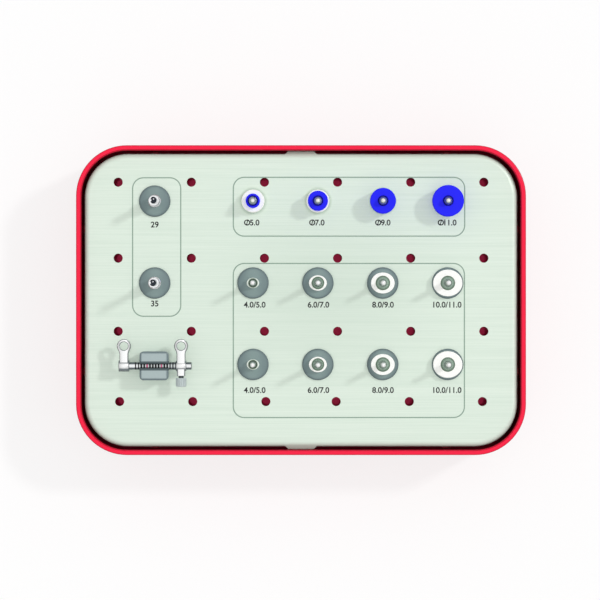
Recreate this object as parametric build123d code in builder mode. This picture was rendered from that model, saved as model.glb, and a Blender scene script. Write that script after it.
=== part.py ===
"""A guided surgery kit: a moulded case, a sheet tray that lifts out of it, and the instruments in the tray.

X runs along the case, Y across it and Z up. The origin is in the middle of the surface the case stands on.
"""

import os
from math import radians, sqrt, tan

from build123d import *

# Case
case_length = 157.4
case_width = 108.4
case_height = 36.0
case_corner_radius = 17.8
case_wall = 1.8
floor_thickness = 2.2
draft_angle = 1.5
case_bottom_radius = 3.5
floor_corner_radius = 1.8
rim_outer_radius = 0.5
rim_inner_chamfer = 0.4
foot_diameter = 12.0
foot_height = 2.0
foot_inset = 17.0
foot_chamfer = 0.4
drain_slot_length = 12.0
drain_slot_width = 3.0
drain_slot_columns = 5
drain_slot_rows = 2
drain_slot_row_pitch = 40.0
rib_thickness = 2.4
long_side_ribs = 3
short_side_ribs = 2
short_side_rib_spacing = 50.0

# Tray
tray_gap = 1.15
tray_depth_below_rim = 2.0
tray_corner_radius = 15.2
tray_edge_radius = 1.8
tray_sheet = 1.0
skirt_depth = 12.0
ledge_reach = 1.5
lug_length_at_skirt = 10.8
lug_length_at_wall = 9.0
lug_clearance = 0.2
lug_slope_start = 0.55
vent_diameter = 3.2
vent_column_pitch = 25.6
vent_columns_each_side = 3
vent_insets_from_rear = (9.95, 36.55)
vent_insets_from_front = (40.35, 15.75)
front_vent_shift = 0.5

# Where the instruments stand on the tray, from its edges
left_column_inset = 24.55
last_column_inset = 24.45
column_pitch = 22.7
rear_row_inset = 16.6
middle_row_inset = 45.25
front_row_inset = 28.75

# Silicone grommets
grommet_flange_diameter = 11.0
grommet_flange_height = 1.0
grommet_flange_rounding = 0.5
grommet_body_diameter = 7.6
grommet_lip_diameter = 9.2
grommet_lip_height = 1.2
grommet_depth = 8.5
grommet_bore_clearance = 0.05
grommet_lead_in = 0.3

# Guide drills
drill_names = ("29", "35")
drill_lengths = (29.0, 35.0)
drill_depth = 11.5
drill_cutting_diameter = 2.0
drill_tip_angle = 118.0
flute_length = 6.0
flute_count = 2
flute_turn = 210.0
flute_sections = 7
flute_depth = 0.62
barrel_diameter = 2.8
barrel_length = 4.5
stop_diameter = 4.4
stop_height = 0.9
sleeve_diameter = 3.8
sleeve_height = 7.8
shank_diameter = 2.35
shank_flat_length = 4.2
shank_flat_depth = 0.55
latch_groove_depth = 0.4
latch_groove_width = 0.8
latch_groove_from_top = 1.6
small_chamfer = 0.2

# Spacers
spacer_diameters = (5.0, 7.0, 9.0, 11.0)
spacer_height = 5.1
spacer_bore = 3.4
spacer_chamfer = 0.25
spacer_base_diameter = 8.0
spacer_base_height = 3.2
spacer_post_diameter = 2.9
spacer_post_height = 12.4
spacer_post_nose = 3.4
nose_fullness = 0.45
post_stud_diameter = 2.0
stud_clearance = 0.1
nut_across_flats = 4.0
nut_height = 1.6
stud_end = 0.4

# Single guide pins
pin_names = ("4_5", "6_7", "8_9", "10_11")
pin_row_names = ("rear", "front")
disc_lengths = (4.35, 6.25, 8.25, 10.25)
disc_widths = (3.6, 5.4, 7.35, 9.3)
disc_recess_diameters = (3.0, 4.3, 5.0, 5.0)
disc_thickness = 2.2
disc_recess_depth = 0.5
disc_rounding = 0.2
pin_heights = (18.5, 18.5, 16.5, 15.8)
pin_stem_diameter = 2.0
pin_stem_depth = 9.0
pin_root_diameter = 2.4
pin_tip_diameter = 1.5
pin_cone_angle = 62.0
pin_cone_gap = 0.1

# Multi guide and its holder
bar_inset_from_front = 28.35
bar_height = 8.0
bar_diameter = 2.65
bar_left_of_column = 12.35
bar_length = 25.45
bar_chamfer = 0.2
bar_clearance = 0.05
band_spacings = (10.0, 15.0)
band_width = 0.6
band_depth = 0.06
holder_length = 10.05
holder_width = 10.05
holder_height = 9.9
holder_corner_radius = 1.4
holder_rounding = 0.8
holder_mouth = 1.5
mouth_rounding_share = 0.9
holder_screw_diameter = 2.0
holder_screw_spacing = 6.0
holder_screw_depth = 4.0
screw_head_diameter = 3.8
screw_head_height = 1.3
ring_reach = 6.9
ring_spacing = 19.9
ring_diameter = 4.85
ring_bore = 2.9
ring_bore_chamfer = 0.2
ring_thickness = 2.4
ring_top_height = 9.6
arm_width = 3.05
arm_fillet = 3.5
arm_rounding = 0.35
fixed_hub_diameter = 4.0
fixed_hub_length = 3.75
sliding_hub_diameter = 3.7
sliding_hub_length = 3.7
hub_rounding = 0.3
neck_width = 2.9
neck_length = 3.6
neck_rounding = 0.5
neck_end_rounding = 0.25
thumbscrew_diameter = 1.8
thumbscrew_clearance = 0.05
thumbscrew_gap = 0.6
knob_diameter = 3.7
knob_length = 3.1
knob_rounding = 0.5
knurl_count = 16
knurl_diameter = 0.5

# Levels and places that follow from the sizes above
plate_top = case_height - tray_depth_below_rim
plate_bottom = plate_top - tray_sheet
skirt_bottom = plate_top - skirt_depth
floor_top = foot_height + floor_thickness
grommet_top = plate_top + grommet_flange_height
tray_length = case_length - 2 * (case_wall + tray_gap)
tray_width = case_width - 2 * (case_wall + tray_gap)
rear_edge = tray_width / 2
front_edge = -tray_width / 2
rear_row = rear_edge - rear_row_inset
middle_row = rear_edge - middle_row_inset
front_row = front_edge + front_row_inset
bar_row = front_edge + bar_inset_from_front
drill_rows = (rear_row, middle_row)
pin_rows = (middle_row, front_row)
vent_rows = [rear_edge - inset for inset in vent_insets_from_rear]
vent_rows += [front_edge + inset for inset in vent_insets_from_front]
left_column = -tray_length / 2 + left_column_inset
last_column = tray_length / 2 - last_column_inset
columns = [last_column - i * column_pitch for i in reversed(range(len(spacer_diameters)))]

os.makedirs("parts", exist_ok=True)


def save(piece, name):
    """Labels a finished piece and writes it under its name."""
    piece.part.label = name
    export_step(piece.part, f"parts/{name}.step")


def draft_at(height):
    """How far the drafted wall stands in from the rim at a height."""
    return (case_height - height) * tan(radians(draft_angle))


def side_plane(x, y, z):
    """An upright sketch plane facing -Y: its X is the object's X and its Y is the object's Z."""
    return Plane(origin=(x, y, z), x_dir=(1, 0, 0), z_dir=(0, -1, 0))


def upright(x, y):
    """The vertical axis through a place on the tray."""
    return Axis((x, y, 0), (0, 0, 1))


# Case: a moulded box with drafted walls, ledge ribs for the tray, drain slots and four feet
case_block_height = case_height - foot_height
cavity_draft = draft_at(floor_top)
ledge_end_y = tray_width / 2 - tray_sheet - ledge_reach
ledge_end_x = tray_length / 2 - tray_sheet - ledge_reach
wall_middle_y = case_width / 2 - draft_at(skirt_bottom) - case_wall / 2
wall_middle_x = case_length / 2 - draft_at(skirt_bottom) - case_wall / 2

with BuildPart() as case_base:
    with BuildSketch(Plane.XY.offset(foot_height)):
        RectangleRounded(
            case_length - 2 * draft_at(foot_height),
            case_width - 2 * draft_at(foot_height),
            case_corner_radius - draft_at(foot_height),
        )
    extrude(amount=case_block_height, taper=-draft_angle)
    fillet(case_base.faces().sort_by(Axis.Z)[0].edges(), case_bottom_radius)
    with BuildSketch(Plane.XY.offset(floor_top)):
        RectangleRounded(
            case_length - 2 * (case_wall + cavity_draft),
            case_width - 2 * (case_wall + cavity_draft),
            case_corner_radius - case_wall - cavity_draft,
        )
    extrude(amount=case_height - floor_top, taper=-draft_angle, mode=Mode.SUBTRACT)
    rim = case_base.faces().filter_by(Axis.Z).sort_by(Axis.Z)[-1]
    fillet(rim.outer_wire().edges(), rim_outer_radius)
    rim = case_base.faces().filter_by(Axis.Z).sort_by(Axis.Z)[-1]
    chamfer(rim.inner_wires()[0].edges(), rim_inner_chamfer)
    cavity_floor = case_base.faces().filter_by(Axis.Z).filter_by_position(Axis.Z, floor_top, floor_top)
    fillet(cavity_floor.edges(), floor_corner_radius)
    # Ledge ribs on the long sides stand between the columns of vents, and two stand on each short side
    with BuildSketch(Plane.XY.offset(floor_top)):
        rib_span = wall_middle_y - ledge_end_y
        for side in (-1, 1):
            with GridLocations(vent_column_pitch * 2, 0, long_side_ribs, 1):
                with Locations((0, side * (ledge_end_y + wall_middle_y) / 2)):
                    Rectangle(rib_thickness, rib_span)
            with GridLocations(0, short_side_rib_spacing, 1, short_side_ribs):
                with Locations((side * (ledge_end_x + wall_middle_x) / 2, 0)):
                    Rectangle(wall_middle_x - ledge_end_x, rib_thickness)
    extrude(amount=skirt_bottom - floor_top)
    with BuildSketch(Plane.XY.offset(foot_height)):
        with GridLocations(vent_column_pitch, drain_slot_row_pitch, drain_slot_columns, drain_slot_rows):
            SlotOverall(drain_slot_length, drain_slot_width, rotation=90)
    extrude(amount=floor_thickness, mode=Mode.SUBTRACT)
    with BuildSketch():
        with GridLocations(case_length - 2 * foot_inset, case_width - 2 * foot_inset, 2, 2):
            Circle(foot_diameter / 2)
    extrude(amount=foot_height + floor_thickness / 2)
    chamfer(case_base.faces().group_by(Axis.Z)[0].edges(), foot_chamfer)
save(case_base, "case_base")

# Tray: a folded sheet pan with a rounded edge, pressed lugs that meet the case, and its holes
lug_crest = case_width / 2 - case_wall - lug_clearance - draft_at(plate_top - tray_edge_radius)
lug_foot = case_width / 2 - case_wall - lug_clearance - draft_at(skirt_bottom)
edge_centre_y = tray_width / 2 - tray_edge_radius
edge_centre_z = plate_top - tray_edge_radius
slope_y = edge_centre_y + sqrt(tray_edge_radius**2 - (tray_edge_radius - lug_slope_start) ** 2)
slope_z = plate_top - lug_slope_start
slope_fall = (slope_y - edge_centre_y) / (slope_z - edge_centre_z)
crest_z = slope_z - (lug_crest - slope_y) * slope_fall

with BuildPart() as lug:
    with BuildSketch(Plane.YZ):
        with BuildLine():
            Polyline(
                (tray_width / 2 - tray_sheet, skirt_bottom),
                (lug_foot, skirt_bottom),
                (lug_crest, crest_z),
                (slope_y, slope_z),
                (tray_width / 2 - tray_sheet, slope_z - tray_sheet),
                close=True,
            )
        make_face()
    extrude(amount=lug_length_at_skirt, both=True)
    with BuildSketch(Plane.XY.offset(skirt_bottom)):
        with BuildLine():
            lug_splay = (lug_length_at_skirt - lug_length_at_wall) / 2 / (lug_crest - tray_width / 2)
            lug_root = lug_length_at_skirt / 2 + lug_splay * tray_sheet
            Polyline(
                (-lug_root, tray_width / 2 - tray_sheet),
                (lug_root, tray_width / 2 - tray_sheet),
                (lug_length_at_wall / 2, lug_crest),
                (-lug_length_at_wall / 2, lug_crest),
                close=True,
            )
        make_face()
    extrude(amount=skirt_depth, mode=Mode.INTERSECT)

with BuildPart() as tray:
    with BuildSketch(Plane.XY.offset(skirt_bottom)):
        RectangleRounded(tray_length, tray_width, tray_corner_radius)
    extrude(amount=skirt_depth)
    fillet(tray.faces().sort_by(Axis.Z)[-1].edges(), tray_edge_radius)
    offset(amount=-tray_sheet, openings=tray.faces().sort_by(Axis.Z)[0])
    add(lug.part)
    add(lug.part.mirror(Plane.XZ))
    # The lugs are pressed, so the inside of the skirt is hollow behind them
    with BuildSketch(Plane.XY.offset(skirt_bottom)):
        pocket_depth = lug_foot - tray_width / 2
        for side in (-1, 1):
            with Locations((0, side * (lug_foot - tray_sheet - pocket_depth / 2))):
                Rectangle(lug_length_at_wall - 2 * tray_sheet, pocket_depth)
    extrude(amount=crest_z - tray_sheet - skirt_bottom, mode=Mode.SUBTRACT)
    with BuildSketch(Plane.XY.offset(plate_top)):
        for row in vent_rows:
            half = vent_column_pitch / 2
            for step in range(vent_columns_each_side):
                shift = front_vent_shift if row == vent_rows[-1] else 0
                vent_x = half + step * vent_column_pitch - shift
                with Locations((vent_x, row), (-vent_x, row)):
                    Circle(vent_diameter / 2)
        with Locations([(left_column, row) for row in drill_rows]):
            Circle(grommet_body_diameter / 2)
        with Locations([(column, row) for column in columns for row in pin_rows]):
            Circle(grommet_body_diameter / 2)
        with Locations([(column, rear_row) for column in columns]):
            Circle((post_stud_diameter + stud_clearance) / 2)
        with Locations((left_column, bar_row)):
            with GridLocations(holder_screw_spacing, 0, 2, 1):
                Circle((holder_screw_diameter + stud_clearance) / 2)
    extrude(amount=-2 * tray_sheet, mode=Mode.SUBTRACT)
save(tray, "tray")


# Grommets: silicone sleeves pushed through the plate, each with a flange above and a lip below it
def grommet(x, y, instrument_diameter, name):
    """One grommet, with a bore that fits the instrument which stands in it."""
    bore = instrument_diameter / 2 + grommet_bore_clearance
    body = grommet_body_diameter / 2
    lip_bottom = -tray_sheet - grommet_lip_height
    with BuildPart() as sleeve:
        with BuildSketch(side_plane(x, y, plate_top)):
            with BuildLine():
                Polyline(
                    (bore + grommet_lead_in, grommet_flange_height),
                    (grommet_flange_diameter / 2, grommet_flange_height),
                    (grommet_flange_diameter / 2, 0),
                    (body, 0),
                    (body, -tray_sheet),
                    (grommet_lip_diameter / 2, -tray_sheet),
                    (body, lip_bottom),
                    (body, -grommet_depth),
                    (bore, -grommet_depth),
                    (bore, grommet_flange_height - grommet_lead_in),
                    close=True,
                )
            make_face()
        revolve(axis=upright(x, y))
        flange_edge = sleeve.edges().group_by(Axis.Z)[-1].sort_by(SortBy.RADIUS)[-1]
        fillet(flange_edge, grommet_flange_rounding)
    save(sleeve, name)


for name, row in zip(drill_names, drill_rows):
    grommet(left_column, row, barrel_diameter, f"grommet_drill_{name}")
for row_name, row in zip(pin_row_names, pin_rows):
    for name, column in zip(pin_names, columns):
        grommet(column, row, pin_stem_diameter, f"grommet_pin_{name}_{row_name}")


# Guide drills: a fluted cutting end, a barrel that fits the guide's rings, a stop, a sleeve and a latch shank
def flute_section(plane, cutter_radius):
    """The section of a two-flute drill: two lands joined by two hollow flutes."""
    with BuildSketch(plane) as section:
        Circle(cutter_radius)
        with PolarLocations(2 * cutter_radius - flute_depth, flute_count):
            Circle(cutter_radius, mode=Mode.SUBTRACT)
    return section.sketch.face()


def guide_drill(x, y, length, name):
    """One guide drill, standing on its grommet with its shank up."""
    cutter = drill_cutting_diameter / 2
    barrel = barrel_diameter / 2
    stop = stop_diameter / 2
    sleeve = sleeve_diameter / 2
    shank = shank_diameter / 2
    tip_z = grommet_top - drill_depth
    tip_height = cutter / tan(radians(drill_tip_angle / 2))
    flute_top = tip_z + flute_length
    barrel_z = grommet_top - barrel_length
    sleeve_z = grommet_top + stop_height
    shank_z = sleeve_z + sleeve_height
    top_z = tip_z + length
    groove_z = top_z - latch_groove_from_top - latch_groove_width
    with BuildPart() as drill:
        for i in range(flute_sections):
            share = i / (flute_sections - 1)
            level = Plane(origin=(x, y, tip_z + share * flute_length), x_dir=(1, 0, 0), z_dir=(0, 0, 1))
            add(flute_section(level.rotated((0, 0, share * flute_turn)), cutter))
        loft()
        with BuildSketch(side_plane(x, y, 0)):
            with BuildLine():
                Polyline(
                    (0, tip_z),
                    (cutter, tip_z + tip_height),
                    (cutter, flute_top),
                    (0, flute_top),
                    close=True,
                )
            make_face()
        revolve(axis=upright(x, y), mode=Mode.INTERSECT)
        with BuildSketch(side_plane(x, y, 0)):
            with BuildLine():
                Polyline(
                    (0, flute_top),
                    (cutter, flute_top),
                    (cutter, barrel_z),
                    (barrel - small_chamfer, barrel_z),
                    (barrel, barrel_z + small_chamfer),
                    (barrel, grommet_top),
                    (stop, grommet_top),
                    (stop, sleeve_z - small_chamfer),
                    (stop - small_chamfer, sleeve_z),
                    (sleeve, sleeve_z),
                    (sleeve, shank_z - small_chamfer),
                    (sleeve - small_chamfer, shank_z),
                    (shank, shank_z),
                    (shank, groove_z),
                    (shank - latch_groove_depth, groove_z),
                    (shank - latch_groove_depth, groove_z + latch_groove_width),
                    (shank, groove_z + latch_groove_width),
                    (shank, top_z - small_chamfer),
                    (shank - small_chamfer, top_z),
                    (0, top_z),
                    close=True,
                )
            make_face()
        revolve(axis=upright(x, y))
        flat_plane = Plane(origin=(x, y, top_z - shank_flat_length), x_dir=(1, 0, 0), z_dir=(0, 0, 1))
        with BuildSketch(flat_plane):
            with Locations((-shank, 0)):
                Rectangle(2 * shank_flat_depth, shank_diameter)
        extrude(amount=shank_flat_length, mode=Mode.SUBTRACT)
    save(drill, name)


for name, row, length in zip(drill_names, drill_rows, drill_lengths):
    guide_drill(left_column, row, length, f"guide_drill_{name}")


# Spacers: a post through a white base, held by a nut under the plate, and a blue ring that lifts off it
def spacer_base(x, name):
    """The white base that a spacer ring stands on."""
    base_plane = Plane(origin=(x, rear_row, plate_top), x_dir=(1, 0, 0), z_dir=(0, 0, 1))
    with BuildPart() as base:
        with BuildSketch(base_plane):
            Circle(spacer_base_diameter / 2)
            Circle(spacer_post_diameter / 2, mode=Mode.SUBTRACT)
        extrude(amount=spacer_base_height)
        chamfer(base.edges().group_by(Axis.Z)[-1].sort_by(SortBy.RADIUS)[-1], spacer_chamfer)
    save(base, name)


def spacer_post(x, name):
    """The bright post: a bullet nose above, and below it the stud that goes through the plate."""
    radius = spacer_post_diameter / 2
    nose_z = spacer_post_height - spacer_post_nose
    with BuildPart() as post:
        with BuildSketch(side_plane(x, rear_row, plate_top)):
            with BuildLine():
                Polyline(
                    (0, spacer_post_height),
                    (0, -tray_sheet - nut_height - stud_end),
                    (post_stud_diameter / 2, -tray_sheet - nut_height - stud_end),
                    (post_stud_diameter / 2, 0),
                    (radius, 0),
                    (radius, nose_z),
                )
                Bezier(
                    (radius, nose_z),
                    (radius, nose_z + spacer_post_nose * nose_fullness),
                    (radius * nose_fullness, spacer_post_height),
                    (0, spacer_post_height),
                )
            make_face()
        revolve(axis=upright(x, rear_row))
    save(post, name)


def spacer_ring(x, diameter, name):
    """One blue spacer ring, loose on its post."""
    ring_plane = Plane(origin=(x, rear_row, plate_top + spacer_base_height), x_dir=(1, 0, 0), z_dir=(0, 0, 1))
    with BuildPart() as ring:
        with BuildSketch(ring_plane):
            Circle(diameter / 2)
            Circle(spacer_bore / 2, mode=Mode.SUBTRACT)
        extrude(amount=spacer_height)
        chamfer(ring.edges().filter_by(GeomType.CIRCLE), spacer_chamfer)
    save(ring, name)


for column, diameter in zip(columns, spacer_diameters):
    spacer_base(column, f"spacer_base_{diameter:.0f}")
    spacer_post(column, f"spacer_post_{diameter:.0f}")
    spacer_ring(column, diameter, f"spacer_ring_{diameter:.0f}")

with BuildPart() as spacer_nuts:
    with BuildSketch(Plane.XY.offset(plate_bottom)):
        with Locations([(column, rear_row) for column in columns]):
            RegularPolygon(nut_across_flats / 2, 6, major_radius=False)
            Circle(post_stud_diameter / 2, mode=Mode.SUBTRACT)
    extrude(amount=-nut_height)
save(spacer_nuts, "spacer_nuts")


# Single guide pins: a turned post with a stem below, and a white oval disc pressed on it
def guide_pin(x, y, size, name):
    """One single guide pin, standing on its grommet."""
    disc_top = grommet_top + disc_thickness
    recess_floor = disc_top - disc_recess_depth
    recess = disc_recess_diameters[size] / 2
    stem = pin_stem_diameter / 2
    root = pin_root_diameter / 2
    tip = pin_tip_diameter / 2
    tip_z = plate_top + pin_heights[size]
    stem_end = plate_top - pin_stem_depth
    cone = recess - pin_cone_gap
    cone_top = recess_floor + (cone - root) * tan(radians(pin_cone_angle))
    disc_plane = Plane(origin=(x, y, grommet_top), x_dir=(1, 0, 0), z_dir=(0, 0, 1))

    with BuildPart() as disc:
        with BuildSketch(disc_plane):
            Ellipse(disc_lengths[size] / 2, disc_widths[size] / 2)
            Circle(stem, mode=Mode.SUBTRACT)
        extrude(amount=disc_thickness)
        rim_edge = disc.faces().sort_by(Axis.Z)[-1].outer_wire().edges()
        fillet(rim_edge, disc_rounding)
        with BuildSketch(disc_plane.offset(disc_thickness)):
            Circle(recess)
        extrude(amount=-disc_recess_depth, mode=Mode.SUBTRACT)
    save(disc, f"pin_disc_{name}")

    with BuildPart() as post:
        with BuildSketch(side_plane(x, y, 0)):
            with BuildLine():
                Polyline(
                    (0, tip_z),
                    (0, stem_end),
                    (stem - small_chamfer, stem_end),
                    (stem, stem_end + small_chamfer),
                    (stem, recess_floor),
                    (cone, recess_floor),
                    (root, cone_top),
                    (tip, tip_z - tip),
                )
                CenterArc((0, tip_z - tip), tip, 0, 90)
            make_face()
        revolve(axis=upright(x, y))
    save(post, f"pin_post_{name}")


for row_name, row in zip(pin_row_names, pin_rows):
    for size, column in enumerate(columns):
        guide_pin(column, row, size, f"{pin_names[size]}_{row_name}")

# Holder of the multi guide: an elastic block whose lips close over the bar
bar_z = plate_top + bar_height
holder_plane = Plane(origin=(left_column, bar_row, plate_top), x_dir=(1, 0, 0), z_dir=(0, 0, 1))
groove_radius = bar_diameter / 2 + bar_clearance
lip_height = holder_height - bar_height - sqrt(groove_radius**2 - (holder_mouth / 2) ** 2)
mouth_rounding = lip_height * mouth_rounding_share

with BuildPart() as guide_holder:
    with BuildSketch(holder_plane):
        RectangleRounded(holder_length, holder_width, holder_corner_radius)
    extrude(amount=holder_height)
    fillet(guide_holder.faces().sort_by(Axis.Z)[-1].edges(), holder_rounding)
    groove_plane = Plane(origin=(left_column, bar_row, plate_top), x_dir=(0, 1, 0), z_dir=(1, 0, 0))
    with BuildSketch(groove_plane):
        # The mouth flares to the top between two rounded lips
        with Locations((0, holder_height - mouth_rounding / 2)):
            Rectangle(holder_mouth + 2 * mouth_rounding, mouth_rounding)
        with Locations((0, holder_height - mouth_rounding)):
            with GridLocations(holder_mouth + 2 * mouth_rounding, 0, 2, 1):
                Circle(mouth_rounding, mode=Mode.SUBTRACT)
        with Locations((0, bar_height)):
            Circle(groove_radius)
        with Locations((0, (bar_height + holder_height) / 2)):
            Rectangle(holder_mouth, holder_height - bar_height)
    extrude(amount=holder_length, both=True, mode=Mode.SUBTRACT)
    with BuildSketch(holder_plane):
        with GridLocations(holder_screw_spacing, 0, 2, 1):
            Circle(holder_screw_diameter / 2)
    extrude(amount=holder_screw_depth, mode=Mode.SUBTRACT)
save(guide_holder, "guide_holder")

with BuildPart() as holder_screws:
    with BuildSketch(holder_plane.offset(-tray_sheet)):
        with GridLocations(holder_screw_spacing, 0, 2, 1):
            Circle(screw_head_diameter / 2)
    extrude(amount=-screw_head_height)
    chamfer(holder_screws.faces().group_by(Axis.Z)[0].edges(), small_chamfer)
    with BuildSketch(holder_plane.offset(-tray_sheet)):
        with GridLocations(holder_screw_spacing, 0, 2, 1):
            Circle(holder_screw_diameter / 2)
    extrude(amount=tray_sheet + holder_screw_depth)
save(holder_screws, "holder_screws")

# Multi guide: a graduated bar with one fixed ring arm and one that slides and is clamped by a thumbscrew
bar_left = left_column - bar_left_of_column
fixed_ring_x = bar_left + fixed_hub_length / 2
sliding_ring_x = fixed_ring_x + ring_spacing
bar_start = Plane(origin=(bar_left, bar_row, bar_z), x_dir=(0, 1, 0), z_dir=(1, 0, 0))

with BuildPart() as guide_bar:
    with BuildSketch(bar_start):
        Circle(bar_diameter / 2)
    extrude(amount=bar_length)
    chamfer(guide_bar.edges().filter_by(GeomType.CIRCLE), bar_chamfer)
    # Each coloured band shows a spacing of the rings, read at the sliding hub's left face
    for spacing in band_spacings:
        band_x = fixed_ring_x + spacing - sliding_hub_length / 2 - band_width / 2
        with BuildSketch(Plane(origin=(band_x, bar_row, bar_z), x_dir=(0, 1, 0), z_dir=(1, 0, 0))):
            Circle(bar_diameter)
            Circle(bar_diameter / 2 - band_depth, mode=Mode.SUBTRACT)
        extrude(amount=band_width, mode=Mode.SUBTRACT)
save(guide_bar, "guide_bar")


def ring_arm(x, hub_diameter, hub_length, bore_radius):
    """A ring on a flat arm that grows out of a hub along the bar."""
    arm_plane = Plane(
        origin=(x, bar_row, plate_top + ring_top_height - ring_thickness), x_dir=(1, 0, 0), z_dir=(0, 0, 1)
    )
    hub_start = Plane(origin=(x - hub_length / 2, bar_row, bar_z), x_dir=(0, 1, 0), z_dir=(1, 0, 0))
    with BuildPart() as hub:
        with BuildSketch(hub_start):
            Circle(hub_diameter / 2)
        extrude(amount=hub_length)
        fillet(hub.edges().filter_by(GeomType.CIRCLE), hub_rounding)
    with BuildPart() as arm:
        with BuildSketch(arm_plane) as outline:
            with Locations((0, ring_reach / 2)):
                Rectangle(arm_width, ring_reach)
            with Locations((0, ring_reach)):
                Circle(ring_diameter / 2)
            ring_foot = ring_reach - ring_diameter / 2
            fillet(outline.vertices().filter_by_position(Axis.Y, ring_foot, ring_reach), arm_fillet)
        extrude(amount=ring_thickness)
        fillet(arm.faces().filter_by(Axis.Z).edges(), arm_rounding)
        with BuildSketch(arm_plane):
            with Locations((0, ring_reach)):
                Circle(ring_bore / 2)
        extrude(amount=ring_thickness, mode=Mode.SUBTRACT)
        bore_edges = [face.inner_wires()[0].edges() for face in arm.faces().filter_by(Axis.Z)]
        chamfer(bore_edges, ring_bore_chamfer)
        add(hub.part)
        with BuildSketch(hub_start):
            Circle(bore_radius)
        extrude(amount=hub_length, mode=Mode.SUBTRACT)
    return arm.part


with BuildPart() as fixed_ring_arm:
    add(ring_arm(fixed_ring_x, fixed_hub_diameter, fixed_hub_length, bar_diameter / 2))
save(fixed_ring_arm, "fixed_ring_arm")

screw_hole_radius = thumbscrew_diameter / 2 + thumbscrew_clearance
neck_start = Plane(origin=(sliding_ring_x, bar_row, bar_z), x_dir=(1, 0, 0), z_dir=(0, -1, 0))
with BuildPart() as sliding_ring_arm:
    with BuildSketch(neck_start):
        RectangleRounded(neck_width, neck_width, neck_rounding)
    extrude(amount=neck_length)
    fillet(sliding_ring_arm.faces().sort_by(Axis.Y)[0].edges(), neck_end_rounding)
    add(ring_arm(sliding_ring_x, sliding_hub_diameter, sliding_hub_length, groove_radius))
    with BuildSketch(Plane(origin=(bar_left, bar_row, bar_z), x_dir=(0, 1, 0), z_dir=(1, 0, 0))):
        Circle(groove_radius)
    extrude(amount=bar_length, mode=Mode.SUBTRACT)
    with BuildSketch(neck_start):
        Circle(screw_hole_radius)
    extrude(amount=neck_length, mode=Mode.SUBTRACT)
save(sliding_ring_arm, "sliding_ring_arm")

screw_tip = bar_diameter / 2 + bar_clearance
knob_start = neck_length + thumbscrew_gap
with BuildPart() as thumbscrew:
    with BuildSketch(neck_start.offset(screw_tip)):
        Circle(thumbscrew_diameter / 2)
    extrude(amount=knob_start - screw_tip)
    with BuildSketch(neck_start.offset(knob_start)):
        Circle(knob_diameter / 2)
    extrude(amount=knob_length)
    fillet(thumbscrew.edges().sort_by(Axis.Y)[0], knob_rounding)
    with BuildSketch(neck_start.offset(knob_start)):
        with PolarLocations(knob_diameter / 2, knurl_count):
            Circle(knurl_diameter / 2)
    extrude(amount=knob_length, mode=Mode.SUBTRACT)
save(thumbscrew, "thumbscrew")
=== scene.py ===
"""A guided surgery kit: finishes for its solids, the printing on its tray, and the studio it is seen in."""

from math import pi

import bpy
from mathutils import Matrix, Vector


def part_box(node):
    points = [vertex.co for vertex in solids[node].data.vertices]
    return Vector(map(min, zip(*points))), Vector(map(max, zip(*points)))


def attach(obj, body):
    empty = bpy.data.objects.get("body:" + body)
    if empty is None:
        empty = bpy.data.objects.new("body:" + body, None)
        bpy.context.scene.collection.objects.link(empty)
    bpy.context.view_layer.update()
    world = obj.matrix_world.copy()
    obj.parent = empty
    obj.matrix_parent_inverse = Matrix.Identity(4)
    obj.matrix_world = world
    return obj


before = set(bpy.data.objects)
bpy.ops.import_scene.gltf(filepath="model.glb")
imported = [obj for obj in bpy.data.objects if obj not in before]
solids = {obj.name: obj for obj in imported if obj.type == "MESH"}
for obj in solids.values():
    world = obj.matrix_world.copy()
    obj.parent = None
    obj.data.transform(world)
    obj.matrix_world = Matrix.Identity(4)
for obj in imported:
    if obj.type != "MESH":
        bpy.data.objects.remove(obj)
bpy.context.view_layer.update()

# Case: one moulding in glossy red plastic with a square-cut rim, open at the top and standing on four feet.
# A polished mould leaves it smooth but for a faint ripple. Painted shade darkens its rounded rim edges, inner
# walls and rib tops, and the floor inside is a paler red with a faint painted glow.


class Level:
    """An amount that differs from point to point of a finish. Arithmetic on it adds Math nodes."""

    def __init__(self, finish, socket):
        self.finish = finish
        self.socket = socket

    def math(self, operation, *amounts):
        """A Math node. Its amounts are all given, also the one that it is called on."""
        return self.finish.node("ShaderNodeMath", {"operation": operation}, dict(enumerate(amounts)))

    def __add__(self, other):
        return self.math("ADD", self, other)

    def __sub__(self, other):
        return self.math("SUBTRACT", self, other)

    def __rsub__(self, other):
        return self.math("SUBTRACT", other, self)

    def __mul__(self, other):
        return self.math("MULTIPLY", self, other)

    def __truediv__(self, other):
        return self.math("DIVIDE", self, other)

    def __lt__(self, other):
        return self.math("LESS_THAN", self, other)

    def __gt__(self, other):
        return self.math("GREATER_THAN", self, other)

    def __abs__(self):
        return self.math("ABSOLUTE", self)

    __radd__ = __add__
    __rmul__ = __mul__


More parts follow.
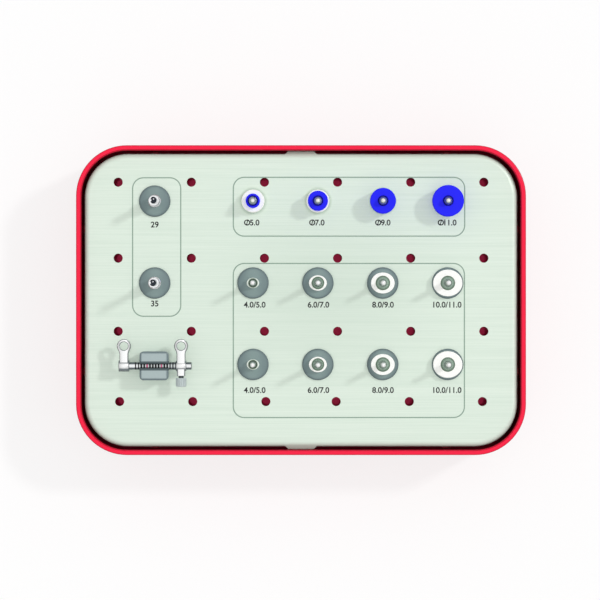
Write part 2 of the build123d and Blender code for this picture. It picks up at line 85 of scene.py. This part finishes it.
class Finish:
    """The nodes of a material, or of the world, round its own shader."""

    def __init__(self, owner):
        owner.use_nodes = True
        self.owner = owner
        self.tree = owner.node_tree
        self.shader = next(n for n in self.tree.nodes if n.type in ("BSDF_PRINCIPLED", "BACKGROUND"))

    def node(self, kind, settings=None, inputs=None, output=0):
        """Adds a node with its settings, then the values or links of its sockets, and gives one output."""
        node = self.tree.nodes.new(kind)
        for name, value in (settings or {}).items():
            setattr(node, name, value)
        self.fill(node, inputs or {})
        return Level(self, node.outputs[output])

    def fill(self, node, inputs):
        """Sets or links sockets of a node."""
        for name, value in inputs.items():
            if isinstance(value, Level):
                self.tree.links.new(value.socket, node.inputs[name])
            else:
                node.inputs[name].default_value = value

    def axes(self, vector):
        """The three parts of a vector."""
        inputs = {"Vector": vector}
        return [self.node("ShaderNodeSeparateXYZ", inputs=inputs, output=axis) for axis in "XYZ"]

    def place(self):
        return [axis * 1000 for axis in self.axes(self.node("ShaderNodeTexCoord", output="Object"))]

    def facing_up(self):
        """1 where the surface lies level and 0 where it stands upright."""
        return abs(self.axes(self.node("ShaderNodeTexCoord", output="Normal"))[2])

    def apart(self, across, along):
        """The distance that two offsets at right angles make."""
        squares = across * across + along * along
        return squares.math("SQRT", squares)

    def grain(self, x, y, z, detail=2.0):
        """Soft noise from 0 to 1 with about one grain to each unit of x, y and z."""
        spot = self.node("ShaderNodeCombineXYZ", inputs={"X": x, "Y": y, "Z": z})
        inputs = {"Vector": spot, "Scale": 1.0, "Detail": detail}
        return self.node("ShaderNodeTexNoise", inputs=inputs, output="Fac")

    def satin(self, low, high, size=1.5):
        """A roughness that drifts between two values in patches of a size in millimetres."""
        patches = self.grain(*[axis / size for axis in self.place()])
        return low + (high - low) * patches

    def rise(self, amount, start, end):
        """0 before start and 1 after end, with a smooth rise between them."""
        inputs = {"Value": amount, "From Min": start, "From Max": end}
        return self.node("ShaderNodeMapRange", {"interpolation_type": "SMOOTHSTEP"}, inputs)

    def blend(self, share, under, over):
        """One colour over another, by a share from 0 to 1."""
        inputs = {0: share, 6: under, 7: over}
        return self.node("ShaderNodeMix", {"data_type": "RGBA"}, inputs, output=2)

    def relief(self, height, depth):
        """Raises the surface by up to depth millimetres where height is 1."""
        inputs = {"Distance": depth / 1000, "Height": height}
        return self.node("ShaderNodeBump", inputs=inputs, output="Normal")


def seen(red, green, blue):
    """A colour as the photograph shows it, from 0 to 255, turned into the linear colour of a shader."""
    parts = [part / 255 for part in (red, green, blue)]
    linear = [part / 12.92 if part <= 0.04045 else ((part + 0.055) / 1.055) ** 2.4 for part in parts]
    return linear + [1.0]


def new_finish(name, inputs):
    """A material whose shader has these plain values."""
    finish = Finish(bpy.data.materials.new(name))
    finish.fill(finish.shader, inputs)
    return finish


def dress(finish, *names):
    for name in names:
        solids[name].data.materials.clear()
        solids[name].data.materials.append(finish.owner)


ripple_size = 6.0
ripple_depth = 0.02
cloud_size = 40.0
case_floor_height = 5.0
case_inside = 68.0
rib_height = 30.0
floor_band = 1
level_slope, rounded_slope = 0.95, 0.6
upright_slope, leaning_slope = 0.2, 0.4
wall_slope, ledge_slope = 0.3, 0.5
case_red = new_finish("case_red", {"Roughness": 0.3, "Specular IOR Level": 0.25, "Emission Strength": 1.0})
x, y, z = case_red.place()
ripple = case_red.grain(x / ripple_size, y / ripple_size, z / ripple_size)
cloud = case_red.grain(x / cloud_size, y / cloud_size, z / cloud_size)
level_red = case_red.blend(cloud, seen(255, 29, 71), seen(250, 26, 67))
rim_shade_red = seen(188, 10, 42)
shaded_red = seen(140, 8, 32)
floor_red = seen(212, 56, 96)
floor_painted_glow = seen(62, 2, 16)
facing = case_red.axes(case_red.node("ShaderNodeTexCoord", output="Normal"))
# Painted shade: the rounded edges of the rim are a darker red than its level top.
rim_edge_shade = case_red.rise(facing[2], level_slope, rounded_slope)
rim_edge_shade = rim_edge_shade * case_red.rise(facing[2], upright_slope, leaning_slope)
case_colour = case_red.blend(rim_edge_shade, level_red, rim_shade_red)
# Painted shade: the walls that face inwards and the tops of the ribs are a darker red.
faces_inwards = (facing[0] * x + facing[1] * y) < -1
inner_wall_shade = faces_inwards * (facing[2] < wall_slope)
rib_top_shade = (facing[2] > ledge_slope) * (z < rib_height)
case_colour = case_red.blend(inner_wall_shade + rib_top_shade, case_colour, shaded_red)
inside_floor = (z < case_floor_height) * (z > case_floor_height - floor_band) * (abs(x) < case_inside)
case_colour = case_red.blend(inside_floor, case_colour, floor_red)
case_inputs = {"Base Color": case_colour, "Normal": case_red.relief(ripple, ripple_depth)}
# Painted light: a faint glow on the floor inside.
case_inputs["Emission Color"] = case_red.blend(inside_floor, (0, 0, 0, 1), floor_painted_glow)
case_red.fill(case_red.shader, case_inputs)
dress(case_red, "case_base")

# Tray: a folded pan of brushed sheet with a rounded edge, pressed lugs and punched vents.
stroke_length = 30.0
stroke_width = 0.35
band_length = 110.0
band_width = 1.2
stroke_depth = 0.002
stroke_share = 0.6
sheet_polish, brush_roughness = 0.36, 0.14
sheet_gloss = 0.3
middle_x, middle_y = 10, 2
middle_reach_x, middle_reach_y = 55, 45
middle_shade = 0.35
contact_shade_edge, contact_shade_foot = 5.3, 3.9
contact_shade_share = 0.45
tray_sheet = new_finish("tray_sheet", {"Specular IOR Level": 0.3})
x, y, z = tray_sheet.place()
stroke = tray_sheet.grain(x / stroke_length, y / stroke_width, z / stroke_width, detail=3.0)
band = tray_sheet.grain(x / band_length, y / band_width, z / band_width)
brushed = stroke * stroke_share + band * (1 - stroke_share)
lies_level = tray_sheet.rise(tray_sheet.facing_up(), 0.1, 0.9)
bright_strokes = tray_sheet.rise(brushed, 0.3, 0.7)
sheet_colour = tray_sheet.blend(bright_strokes, seen(220, 235, 221), seen(229, 242, 229))
# Painted shade: the middle of the plate is a little darker.
near_x = tray_sheet.rise(abs(x - middle_x), middle_reach_x, 0)
near_y = tray_sheet.rise(abs(y - middle_y), middle_reach_y, 0)
sheet_colour = tray_sheet.blend(near_x * near_y * middle_shade, sheet_colour, seen(200, 216, 202))


def nearest(amount, places):
    """How far an amount is from the nearest of some places."""
    gaps = [abs(amount - place) for place in places]
    closest = gaps[0]
    for gap in gaps[1:]:
        closest = closest.math("MINIMUM", closest, gap)
    return closest


def stations(*names):
    """The middles of some upright pieces in millimetres: each x and each y once, in order."""
    middles = [(low + high) * 500 for low, high in map(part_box, names)]
    return [sorted({round(middle[axis], 2) for middle in middles}) for axis in (0, 1)]


spacer_sizes = ("5", "7", "9", "11")
spacer_bases = [f"spacer_base_{size}" for size in spacer_sizes]
spacer_columns, spacer_row = stations(*spacer_bases)
# Painted shadow: a darker ring on the plate round the foot of each spacer base.
from_base = tray_sheet.apart(nearest(x, spacer_columns), nearest(y, spacer_row))
base_contact_shade = tray_sheet.rise(from_base, contact_shade_edge, contact_shade_foot) * contact_shade_share
sheet_colour = tray_sheet.blend(base_contact_shade, sheet_colour, seen(120, 146, 132))
# Painted shade: the rounded edge and the upright skirt are a little darker than the level plate.
skirt = tray_sheet.rise(tray_sheet.facing_up(), 0.25, 0.1)
upright_colour = tray_sheet.blend(skirt, seen(206, 228, 214), seen(206, 220, 210))
tray_inputs = {"Base Color": tray_sheet.blend(lies_level, upright_colour, sheet_colour)}
tray_inputs["Metallic"] = tray_sheet.rise(tray_sheet.facing_up(), 0.85, 1.0) * sheet_gloss
tray_inputs["Roughness"] = sheet_polish + brush_roughness * brushed
tray_inputs["Normal"] = tray_sheet.relief(stroke, stroke_depth)
tray_sheet.fill(tray_sheet.shader, tray_inputs)
dress(tray_sheet, "tray")

# Printing on the tray: thin rounded frames round each group, in pale ink, and the size of each instrument in
# dark ink. Both are raised by the thickness of a screen print.
plate_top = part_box("tray")[1].z
print_thickness = 0.00002
frame_line = 0.0004
frame_corner = 0.004
corner_steps = 10
pale_ink = new_finish("pale_ink", {"Base Color": seen(140, 164, 148)})
dark_ink = new_finish("dark_ink", {"Base Color": seen(18, 22, 24)})
for ink in (pale_ink, dark_ink):
    ink.fill(ink.shader, {"Roughness": ink.satin(0.42, 0.6, 0.5)})


def group_sides(*names):
    """The left, right, front and rear sides of the box round a group of solids."""
    boxes = [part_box(name) for name in names]
    left, front = (min(low[axis] for low, high in boxes) for axis in (0, 1))
    right, rear = (max(high[axis] for low, high in boxes) for axis in (0, 1))
    return left, right, front, rear


def printed_frame(name, group, left_gap, right_gap, front_gap, rear_gap):
    """A thin line with round corners round a group of solids, at its own gap on each side."""
    left, right, front, rear = group_sides(*group)
    left, right = left - left_gap, right + right_gap
    front, rear = front - front_gap, rear + rear_gap
    middle = Vector(((left + right) / 2, (front + rear) / 2, plate_top))
    bpy.ops.object.select_all(action="DESELECT")
    bpy.ops.mesh.primitive_plane_add(size=1, location=middle)
    piece = bpy.context.object
    piece.name = name
    bpy.ops.object.transform_apply(location=True, rotation=True, scale=True)
    bpy.ops.object.mode_set(mode="EDIT")
    bpy.ops.mesh.select_all(action="SELECT")
    bpy.ops.transform.resize(value=(right - left, rear - front, 1), center_override=middle)
    bpy.ops.mesh.bevel(offset=frame_corner, segments=corner_steps, affect="VERTICES")
    bpy.ops.mesh.select_all(action="SELECT")
    bpy.ops.mesh.inset(thickness=frame_line)
    bpy.ops.mesh.delete(type="FACE")
    bpy.ops.mesh.select_all(action="SELECT")
    bpy.ops.mesh.extrude_region_move(TRANSFORM_OT_translate={"value": (0, 0, print_thickness)})
    bpy.ops.mesh.select_all(action="SELECT")
    bpy.ops.mesh.normals_make_consistent(inside=False)
    bpy.ops.object.mode_set(mode="OBJECT")
    piece.data.materials.append(pale_ink.owner)
    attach(piece, "tray")


drill_sizes = ("29", "35")
pin_sizes = ("4_5", "6_7", "8_9", "10_11")
drill_grommets = [f"grommet_drill_{size}" for size in drill_sizes]
spacer_stations = [f"spacer_{part}_{size}" for part in ("base", "ring") for size in spacer_sizes]
pin_grommets = [f"grommet_pin_{size}_{row}" for row in ("rear", "front") for size in pin_sizes]
printed_frame(
    "frame_drills", drill_grommets, left_gap=0.00245, right_gap=0.0038, front_gap=0.00635, rear_gap=0.0029
)
printed_frame(
    "frame_spacers", spacer_stations, left_gap=0.0031, right_gap=0.0007, front_gap=0.00695, rear_gap=0.00305
)
printed_frame(
    "frame_pins", pin_grommets, left_gap=0.0016, right_gap=0.0006, front_gap=0.0133, rear_gap=0.00155
)

digit_height = 0.0028
digit_swell = 0.00006
sign_width = 0.0019
spacer_mark_drop = 0.0076
digits = []


def print_mark(text, x, y):
    """One line of print in dark ink, centred on a place."""
    bpy.ops.object.text_add(location=(x, y, plate_top))
    mark = bpy.context.object
    mark.data.body = text
    mark.data.size = digit_height
    mark.data.offset = digit_swell
    mark.data.align_x = "CENTER"
    mark.data.align_y = "CENTER"
    mark.data.extrude = print_thickness
    digits.append(mark)
    bpy.context.view_layer.update()
    return mark.dimensions.x


# Each mark stands a drop below the middle of its instrument, and some are shifted a little to the side
for size, drop in zip(drill_sizes, (0.0083, 0.0073)):
    left, right, front, rear = group_sides(f"grommet_drill_{size}")
    print_mark(size, (left + right) / 2, (front + rear) / 2 - drop)
for size, shift in zip(spacer_sizes, (-0.0004, -0.0003, 0.0001, -0.0002)):
    left, right, front, rear = group_sides(f"spacer_base_{size}")
    middle, line = (left + right + sign_width) / 2 + shift, (front + rear) / 2 - spacer_mark_drop
    digits_width = print_mark(f"{size}.0", middle, line)
    # The font's own diameter sign breaks up when it is swollen, so a stroke is printed over a letter O
    for stroke_sign in "O/":
        print_mark(stroke_sign, middle - (digits_width + sign_width) / 2, line)
for size, shift in zip(pin_sizes, (0.0006, 0.0002, 0.0001, -0.0003)):
    for row, drop in (("rear", 0.0077), ("front", 0.0091)):
        left, right, front, rear = group_sides(f"grommet_pin_{size}_{row}")
        pair_of_sizes = size.replace("_", ".0/") + ".0"
        print_mark(pair_of_sizes, (left + right) / 2 + shift, (front + rear) / 2 - drop)
bpy.ops.object.select_all(action="DESELECT")
for mark in digits:
    mark.select_set(True)
bpy.context.view_layer.objects.active = digits[0]
bpy.ops.object.convert(target="MESH")
bpy.ops.object.join()
bpy.ops.object.transform_apply(location=True, rotation=True, scale=True)
sizes_printed = bpy.context.object
sizes_printed.name = "size_marks"
sizes_printed.data.materials.append(dark_ink.owner)
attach(sizes_printed, "tray")

# Grommets: slate grey silicone sleeves pushed through the plate, soft and matt. A bump shades their flat tops
# as if a little domed, and painted shade darkens them towards their sides and edges.
grommet_radius = 5.5
dome_height = 0.7
slate_grains = 2
light_reach, shaded_reach = 0.5, 4.5
edge_start, edge_end = 0.6, 1.1
slate_silicone = new_finish("slate_silicone", {"Roughness": 0.55, "Specular IOR Level": 0.4})
x, y, z = slate_silicone.place()
grommet_columns, grommet_rows = stations(*drill_grommets, *pin_grommets)
from_column = nearest(x, grommet_columns)
from_row = nearest(y, grommet_rows)
from_middle = (from_column * from_column + from_row * from_row) / grommet_radius**2
dust = slate_silicone.grain(x * slate_grains, y * slate_grains, z * slate_grains)
slate_colour = slate_silicone.blend(dust, seen(129, 149, 147), seen(137, 157, 155))
slate_side_shade = slate_silicone.blend(dust, seen(114, 132, 134), seen(120, 139, 139))
# Painted shade: darker towards the sides and the outer edge.
shaded_side = slate_silicone.rise(from_column, light_reach, shaded_reach)
slate_colour = slate_silicone.blend(shaded_side, slate_colour, slate_side_shade)
slate_edge_shade = slate_silicone.blend(dust, seen(92, 108, 112), seen(98, 114, 118))
outer_edge_shade = slate_silicone.rise(from_middle, edge_start, edge_end)
slate_colour = slate_silicone.blend(outer_edge_shade, slate_colour, slate_edge_shade)
slate_inputs = {"Base Color": slate_colour, "Normal": slate_silicone.relief(1 - from_middle, dome_height)}
slate_silicone.fill(slate_silicone.shader, slate_inputs)
dress(slate_silicone, *drill_grommets, *pin_grommets)

# Guide drills: hardened stainless steel. Painted light makes their level faces, such as the stop and the
# sleeve, bright and their sides grey. The end of the shank, its upper sides and the ledge of its flat but for
# its middle are painted dark as a reflection, with a small painted highlight near the middle of the end.
shank_cap = 0.6
flat_length = 4.2
flat_half = 0.35
glint_radius = 0.22
glint_x, glint_y = 0.15, 0.35
glint_share = 0.8
ledge_band = 0.1
shaded_drop = 1
turning_marks = 3
steel_polish, grain_roughness = 0.18, 0.08
side_metal = 0.6
for size in drill_sizes:
    drill_name = f"guide_drill_{size}"
    drill_column, drill_row = (places[0] for places in stations(drill_name))
    shank_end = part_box(drill_name)[1].z * 1000
    drill_steel = new_finish(f"drill_steel_{size}", {})
    x, y, z = drill_steel.place()
    drill_grain = drill_steel.grain(x, y, z * turning_marks)
    ledge_height = shank_end - flat_length
    # Painted light: level faces bright, upright faces grey.
    bright = drill_steel.rise(drill_steel.facing_up(), 0.3, 0.9)
    # Painted dark reflection on the upper sides of the shank.
    dark_upper_sides = z > ledge_height - shaded_drop
    sides = drill_steel.blend(dark_upper_sides, seen(190, 192, 197), seen(112, 118, 124))
    drill_colour = drill_steel.blend(bright, sides, seen(252, 253, 254))
    # Painted dark reflection: the ledge of the flat but for its middle, and the end of the shank but for a
    # small painted highlight near its middle.
    ledge = (z > ledge_height - ledge_band) * (z < ledge_height + ledge_band)
    ledge = ledge * (abs(y - drill_row) > flat_half)
    mark = drill_steel.apart(x - drill_column - glint_x, y - drill_row - glint_y) < glint_radius
    dark_reflection = ledge + (z > shank_end - shank_cap) * (1 - glint_share * mark)
    drill_colour = drill_steel.blend(dark_reflection, drill_colour, seen(50, 55, 62))
    drill_inputs = {"Base Color": drill_colour, "Roughness": steel_polish + grain_roughness * drill_grain}
    drill_inputs["Metallic"] = side_metal + (1 - side_metal) * bright
    drill_steel.fill(drill_steel.shader, drill_inputs)
    dress(drill_steel, drill_name)

# Spacers: a turned white base, a steel post with a bullet nose, and a blue ring for each diameter.
# The blue is moulded in. Painted shade darkens it towards the bore and paints the bore of the white base dark
# blue, and painted light gives the white base a faint glow.
painted_white_glow = (0.08, 0.08, 0.06, 1)
bore_reach = 1.8
blue_reach, deep_reach = 1.85, 1.6
white_plastic = new_finish("white_plastic", {"Specular IOR Level": 0.2})
x, y, _ = white_plastic.place()
in_bore = white_plastic.apart(nearest(x, spacer_columns), nearest(y, spacer_row)) < bore_reach
# Painted shade: the bore of the white base is a dark blue.
base_white = white_plastic.blend(in_bore, seen(254, 254, 250), seen(34, 34, 180))
# Painted light: a faint glow on the white base outside its bore.
base_painted_glow = white_plastic.blend(in_bore, painted_white_glow, (0, 0, 0, 1))
base_inputs = {"Emission Strength": 1.0, "Emission Color": base_painted_glow}
base_inputs.update({"Base Color": base_white, "Roughness": white_plastic.satin(0.36, 0.46)})
white_plastic.fill(white_plastic.shader, base_inputs)
spacer_blue = new_finish("spacer_blue", {"Specular IOR Level": 0.1})
x, y, _ = spacer_blue.place()
from_post = spacer_blue.apart(nearest(x, spacer_columns), nearest(y, spacer_row))
# Painted shade: the blue darkens towards the bore.
bore_shade = spacer_blue.rise(from_post, blue_reach, deep_reach)
ring_inputs = {"Base Color": spacer_blue.blend(bore_shade, seen(42, 42, 255), seen(14, 12, 190))}
ring_inputs["Roughness"] = spacer_blue.satin(0.4, 0.52)
spacer_blue.fill(spacer_blue.shader, ring_inputs)

tip_blur, foot_blur = 0.15, 0.3
turned_polish, turned_roughness, tip_haze = 0.22, 0.06, 0.2
turned_metal, tip_loss, foot_loss = 0.6, 0.5, 0.6


def turned_steel(name, columns, rows, tip_reach, side_colour, foot_reach, foot_colour):
    """Polished steel turned round upright axes, with painted light: a painted white highlight at the tip, a
    painted reflection in the side colour below, and painted shade and reflection in the foot colour, less
    metallic, on a wide foot.
    """
    steel = new_finish(name, {})
    x, y, z = steel.place()
    from_axis = steel.apart(nearest(x, columns), nearest(y, rows))
    steel_grain = steel.grain(x, y, z * turning_marks)
    # Painted highlight at the tip, painted shade and reflection on the foot.
    tip = steel.rise(from_axis, tip_reach + tip_blur, tip_reach - tip_blur)
    foot = steel.rise(from_axis, foot_reach, foot_reach + foot_blur)
    steel_colour = steel.blend(foot, side_colour, foot_colour)
    steel_colour = steel.blend(tip, steel_colour, seen(255, 255, 255))
    steel_inputs = {"Base Color": steel_colour}
    steel_inputs["Roughness"] = turned_polish + turned_roughness * steel_grain + tip_haze * tip
    steel_inputs["Metallic"] = turned_metal - tip_loss * tip - foot_loss * foot
    steel.fill(steel.shader, steel_inputs)
    return steel


post_steel = turned_steel(
    "post_steel",
    spacer_columns,
    spacer_row,
    tip_reach=0.68,
    side_colour=seen(142, 152, 156),
    foot_reach=1.34,
    foot_colour=seen(60, 64, 120),
)
for size in spacer_sizes:
    dress(white_plastic, f"spacer_base_{size}")
    dress(spacer_blue, f"spacer_ring_{size}")
    dress(post_steel, f"spacer_post_{size}")

# Single guide pins: turned steel posts, each with a white oval disc for one pair of sizes. A shallow recess
# in the disc holds the foot of the post.
pin_columns, pin_rows = stations(*pin_grommets)
pin_steel = turned_steel(
    "pin_steel",
    pin_columns,
    pin_rows,
    tip_reach=0.78,
    side_colour=seen(122, 140, 132),
    foot_reach=1.3,
    foot_colour=seen(146, 172, 154),
)
dress(pin_steel, *[name for name in solids if name.startswith("pin_post")])
recess_blur = 0.08
for size, recess_reach in zip(pin_sizes, (1.68, 2.22, 2.55, 2.55)):
    disc_white = new_finish(f"disc_white_{size}", {"Specular IOR Level": 0.2})
    # Painted light: a faint glow on each disc.
    disc_inputs = {"Emission Strength": 0.8, "Emission Color": painted_white_glow}
    x, y, _ = disc_white.place()
    from_axis = disc_white.apart(nearest(x, pin_columns), nearest(y, pin_rows))
    level_white = seen(232, 241, 235) if size == pin_sizes[0] else seen(254, 254, 252)
    # Painted shade: the recess is a dark green-grey.
    recess_shade = disc_white.rise(from_axis, recess_reach + recess_blur, recess_reach - recess_blur)
    disc_inputs["Base Color"] = disc_white.blend(recess_shade, level_white, seen(104, 130, 114))
    disc_inputs["Roughness"] = disc_white.satin(0.36, 0.46)
    disc_white.fill(disc_white.shader, disc_inputs)
    dress(disc_white, *[f"pin_disc_{size}_{row}" for row in ("rear", "front")])

# Holder of the multi guide: a block of grey silicone that grips the bar. Its rounded edge and the lips over
# the bar are painted darker than its flat top, as shade.
holder_edge = 0.7
edge_blur = 0.3
lip_reach = 1.6
lip_blur = 0.15
holder_grains = 1.5
holder_polish, holder_roughness = 0.45, 0.1
holder_silicone = new_finish("holder_silicone", {"Specular IOR Level": 0.4})
x, y, z = holder_silicone.place()
holder_low, holder_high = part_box("guide_holder")
holder_middle = (holder_low + holder_high) * 500
holder_half = (holder_high - holder_low) * 500
bar_row = stations("guide_bar")[1][0]
holder_dust = holder_silicone.grain(x * holder_grains, y * holder_grains, z * holder_grains)
holder_top = holder_silicone.blend(holder_dust, seen(167, 183, 184), seen(175, 190, 190))
edge_x = abs(x - holder_middle.x) - holder_half.x
edge_y = abs(y - holder_middle.y) - holder_half.y
from_edge = edge_x.math("MAXIMUM", edge_x, edge_y)
# Painted shade: the rounded edge and the lips over the bar are darker.
rounded = holder_silicone.rise(from_edge, -holder_edge - edge_blur, -holder_edge + edge_blur)
lips = holder_silicone.rise(abs(y - bar_row), lip_reach + lip_blur, lip_reach - lip_blur)
rounded = rounded * holder_silicone.rise(holder_silicone.facing_up(), 0.1, 0.3)
holder_colour = holder_silicone.blend(rounded, holder_top, seen(118, 134, 138))
holder_colour = holder_silicone.blend(lips, holder_colour, seen(82, 96, 99))
holder_inputs = {"Base Color": holder_colour, "Roughness": holder_polish + holder_roughness * holder_dust}
holder_silicone.fill(holder_silicone.shader, holder_inputs)
dress(holder_silicone, "guide_holder")

# Multi guide: polished steel arms on a bar that has a dark ring at each millimetre and two pink bands, 5 mm
# apart. Painted light makes the level faces of the arms and bar bright and their sides darker, and painted
# shade darkens the bar from the holder to the sliding arm. The thumbscrew's knob is knurled, and its shank is
# dark.
arm_half_width = 1.5
arm_crown = 0.4
arm_polish, arm_roughness = 0.2, 0.08
arm_metal, arm_gloss = 0.6, 0.3
arm_steel = new_finish("arm_steel", {})
x, y, z = arm_steel.place()
arm_grain = arm_steel.grain(x, y, z * turning_marks)
# Painted light: the level faces of the arms bright, their sides grey.
bright = arm_steel.rise(arm_steel.facing_up(), 0.8, 0.98)
arm_colour = arm_steel.blend(bright, seen(134, 143, 147), seen(252, 253, 253))
arm_columns = stations("fixed_ring_arm", "sliding_ring_arm")[0]
from_spine = nearest(x, arm_columns) / arm_half_width
arm_inputs = {"Base Color": arm_colour, "Roughness": arm_polish + arm_roughness * arm_grain}
arm_inputs["Metallic"] = arm_metal + arm_gloss * bright
arm_inputs["Normal"] = arm_steel.relief(1 - from_spine * from_spine, arm_crown)
arm_steel.fill(arm_steel.shader, arm_inputs)
dress(arm_steel, "fixed_ring_arm", "sliding_ring_arm")

plain_bar_end = 5.97
ring_spacing, ring_edge, ring_core = 1, 0.28, 0.16
gripped_widening = 0.1
band_spacing, band_edge, band_core = 5, 0.3, 0.22
first_band = 4
unbanded_length, banded_length = 2, 12
bar_polish, band_roughness = 0.2, 0.3
bar_metal, band_loss = 0.8, 0.6
first_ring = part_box("guide_bar")[0].x * 1000 + plain_bar_end
bands_end = first_ring + banded_length
rings_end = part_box("sliding_ring_arm")[0].x * 1000 + 1
bar_steel = new_finish("bar_steel", {})
x, _, _ = bar_steel.place()
from_ring = x.math("PINGPONG", x - first_ring, ring_spacing / 2)
# Painted shade: inside the holder the rings are widened, so that the bar is darker there.
gripped = abs(x - holder_middle.x) < holder_half.x
widening = gripped_widening * gripped
ringed = bar_steel.rise(from_ring, ring_edge + widening, ring_core + widening)
ringed = ringed * (x > first_ring - ring_spacing / 2) * (x < rings_end)
from_band = x.math("PINGPONG", x - (first_ring + first_band), band_spacing / 2)
banded = bar_steel.rise(from_band, band_edge, band_core)
banded = banded * (x > first_ring + unbanded_length) * (x < bands_end)
# Painted light: the top of the bar bright, its sides dark.
bright = bar_steel.rise(bar_steel.facing_up(), 0.84, 0.97)
# Painted shade: the top of the bar is darker from the holder to the sliding arm.
shaded = (x > holder_middle.x - holder_half.x) * (x < rings_end)
bar_top = bar_steel.blend(shaded, seen(244, 246, 247), seen(206, 211, 211))
plain_steel = bar_steel.blend(bright, seen(112, 122, 126), bar_top)
bar_colour = bar_steel.blend(ringed, plain_steel, seen(30, 33, 36))
bar_colour = bar_steel.blend(banded * bright, bar_colour, seen(196, 92, 132))
bar_inputs = {"Base Color": bar_colour, "Roughness": bar_polish + band_roughness * banded}
bar_inputs["Metallic"] = bar_metal - band_loss * banded
bar_steel.fill(bar_steel.shader, bar_inputs)
dress(bar_steel, "guide_bar")

knob_length = 3.1
knob_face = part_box("thumbscrew")[0].y * 1000 + knob_length
knob_steel = new_finish("knob_steel", {"Metallic": 0.6})
_, y, _ = knob_steel.place()
knob_colour = knob_steel.blend(y > knob_face, seen(198, 208, 208), seen(58, 66, 68))
knob_inputs = {"Base Color": knob_colour, "Roughness": knob_steel.satin(0.28, 0.4, 0.6)}
knob_steel.fill(knob_steel.shader, knob_inputs)
dress(knob_steel, "thumbscrew")

# Fasteners under the tray: four nuts hold the spacer posts and two screws hold the block of the multi guide.
# They are turned from stainless steel, and their polish varies a little from spot to spot.
fastener_steel = new_finish("fastener_steel", {"Metallic": 1.0, "Base Color": seen(190, 193, 195)})
fastener_steel.fill(fastener_steel.shader, {"Roughness": fastener_steel.satin(0.22, 0.4, 0.8)})
dress(fastener_steel, "spacer_nuts", "holder_screws")

# Studio: a pale floor, a soft white sky that darkens towards the horizon, a lamp to the right and behind, and
# one straight above that gloss doesn't mirror. The camera looks straight down, as the photograph does.
floor_glow = 0.7
floor_inputs = {"Base Color": (0.3, 0.3, 0.3, 1), "Roughness": 1.0, "Specular IOR Level": 0.0}
floor_finish = new_finish("floor", {**floor_inputs, "Emission Strength": 1.0})
camera_ray, glossy_ray = (
    floor_finish.node("ShaderNodeLightPath", output=f"Is {ray} Ray") for ray in ("Camera", "Glossy")
)
glow_colour = (floor_glow, floor_glow, floor_glow, 1)
glow = floor_finish.blend(camera_ray + glossy_ray, (0, 0, 0, 1), glow_colour)
floor_finish.fill(floor_finish.shader, {"Emission Color": glow})
bpy.ops.object.select_all(action="DESELECT")
bpy.ops.mesh.primitive_plane_add(size=6)
floor = bpy.context.object
floor.name = "floor"
floor.data.materials.append(floor_finish.owner)

lamp_distance = 2


def lamp(name, level, direction, spread, mirrored):
    """A lamp far off in a direction, that lights a flat surface to a level. Gloss may leave it out."""
    direction = Vector(direction).normalized()
    light = bpy.data.lights.new(name, "SUN")
    light.energy = level * pi / direction.z
    light.angle = spread
    stand = bpy.data.objects.new(name, light)
    stand.location = direction * lamp_distance
    stand.rotation_euler = direction.to_track_quat("Z", "Y").to_euler()
    stand.visible_glossy = mirrored
    bpy.context.scene.collection.objects.link(stand)


lamp("key", level=0.19, direction=(0.89, 0.46, 1.149), spread=0.1, mirrored=True)
lamp("overhead", level=0.19, direction=(0, 0, 1), spread=0.02, mirrored=False)

horizon_level = 0.35
zenith_level = 0.725
sky = Finish(bpy.data.worlds.new("sky"))
bpy.context.scene.world = sky.owner
height = sky.axes(sky.node("ShaderNodeTexCoord", output="Generated"))[2]
height = height.math("MAXIMUM", height, 0)
lighting = horizon_level + (zenith_level - horizon_level) * height
ray_kinds = ("Camera", "Glossy", "Transmission")
rays = {ray: sky.node("ShaderNodeLightPath", output=f"Is {ray} Ray") for ray in ray_kinds}
lighting = lighting + rays["Glossy"] * (1 - zenith_level) * height
white_share = rays["Camera"] + rays["Transmission"]
sky.fill(sky.shader, {"Color": (1, 1, 1, 1), "Strength": lighting + white_share * (1 - lighting)})

rim_height = 0.036
camera_height = 1.65
picture_pixels = 600
pixels_per_metre = 2860
pixels_left, pixels_rear = 1.0, 0.15
picture_width = picture_pixels / pixels_per_metre
camera_data = bpy.data.cameras.new("camera")
camera_data.lens = camera_data.sensor_width * camera_height / picture_width
camera = bpy.data.objects.new("camera", camera_data)
camera_place = (-pixels_left / pixels_per_metre, pixels_rear / pixels_per_metre)
camera.location = (*camera_place, rim_height + camera_height)
bpy.context.scene.collection.objects.link(camera)
bpy.context.scene.camera = camera
bpy.context.scene.view_settings.view_transform = "Standard"
